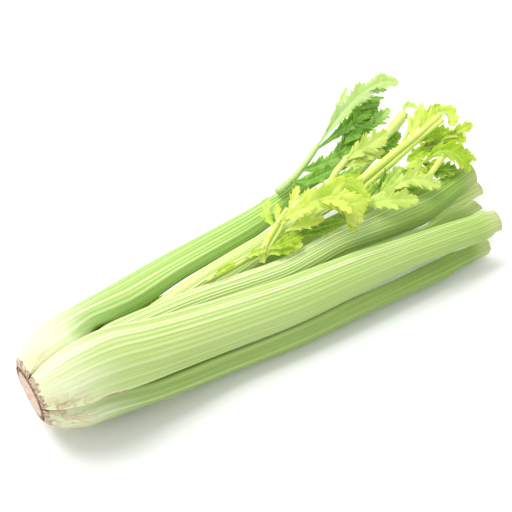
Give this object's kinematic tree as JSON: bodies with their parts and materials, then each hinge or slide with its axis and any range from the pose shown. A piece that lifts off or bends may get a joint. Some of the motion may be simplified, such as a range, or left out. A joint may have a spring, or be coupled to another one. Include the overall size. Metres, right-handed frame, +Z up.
{
  "type": "head of celery",
  "caption": "Head of celery lying on its side: ribbed green stalks round a flat-cut root, small toothed leaves at the other end.",
  "frame": {"origin": "on the table, under the middle of the head's bounding box", "axes": "+X along the head from the cut root to the leafy end, +Y towards the far side, +Z up from the table"},
  "size_m": [0.3702, 0.1479, 0.089],
  "materials": {
    "root_tan": "cut and dried plant tissue, matt",
    "stalk_green": "fresh ribbed skin with a slight waxy sheen",
    "stalk_pale": "pale inner stalk, slight sheen",
    "leaf_green": "soft leaf, matt to satin",
    "leaf_pale": "pale young leaf, matt to satin",
    "leaf_yellow": "yellow-green heart leaf, matt to satin"
  },
  "bodies": {
    "root": {"crown": "root_tan", "stalk_front": "stalk_green", "stalk_top": "stalk_green", "stalk_back": "stalk_green", "stalk_low_front": "stalk_green", "stalk_under": "stalk_green", "stalk_low_back": "stalk_green", "stalk_inner": "stalk_pale", "stalk_heart": "stalk_pale", "stalk_core": "stalk_pale", "leaf_back": "leaf_green", "leaf_pale": "leaf_pale", "leaf_crest": "leaf_yellow", "leaf_arch": "leaf_yellow", "leaf_near": "leaf_pale", "leaf_heart": "leaf_yellow"}
  },
  "joints": []
}
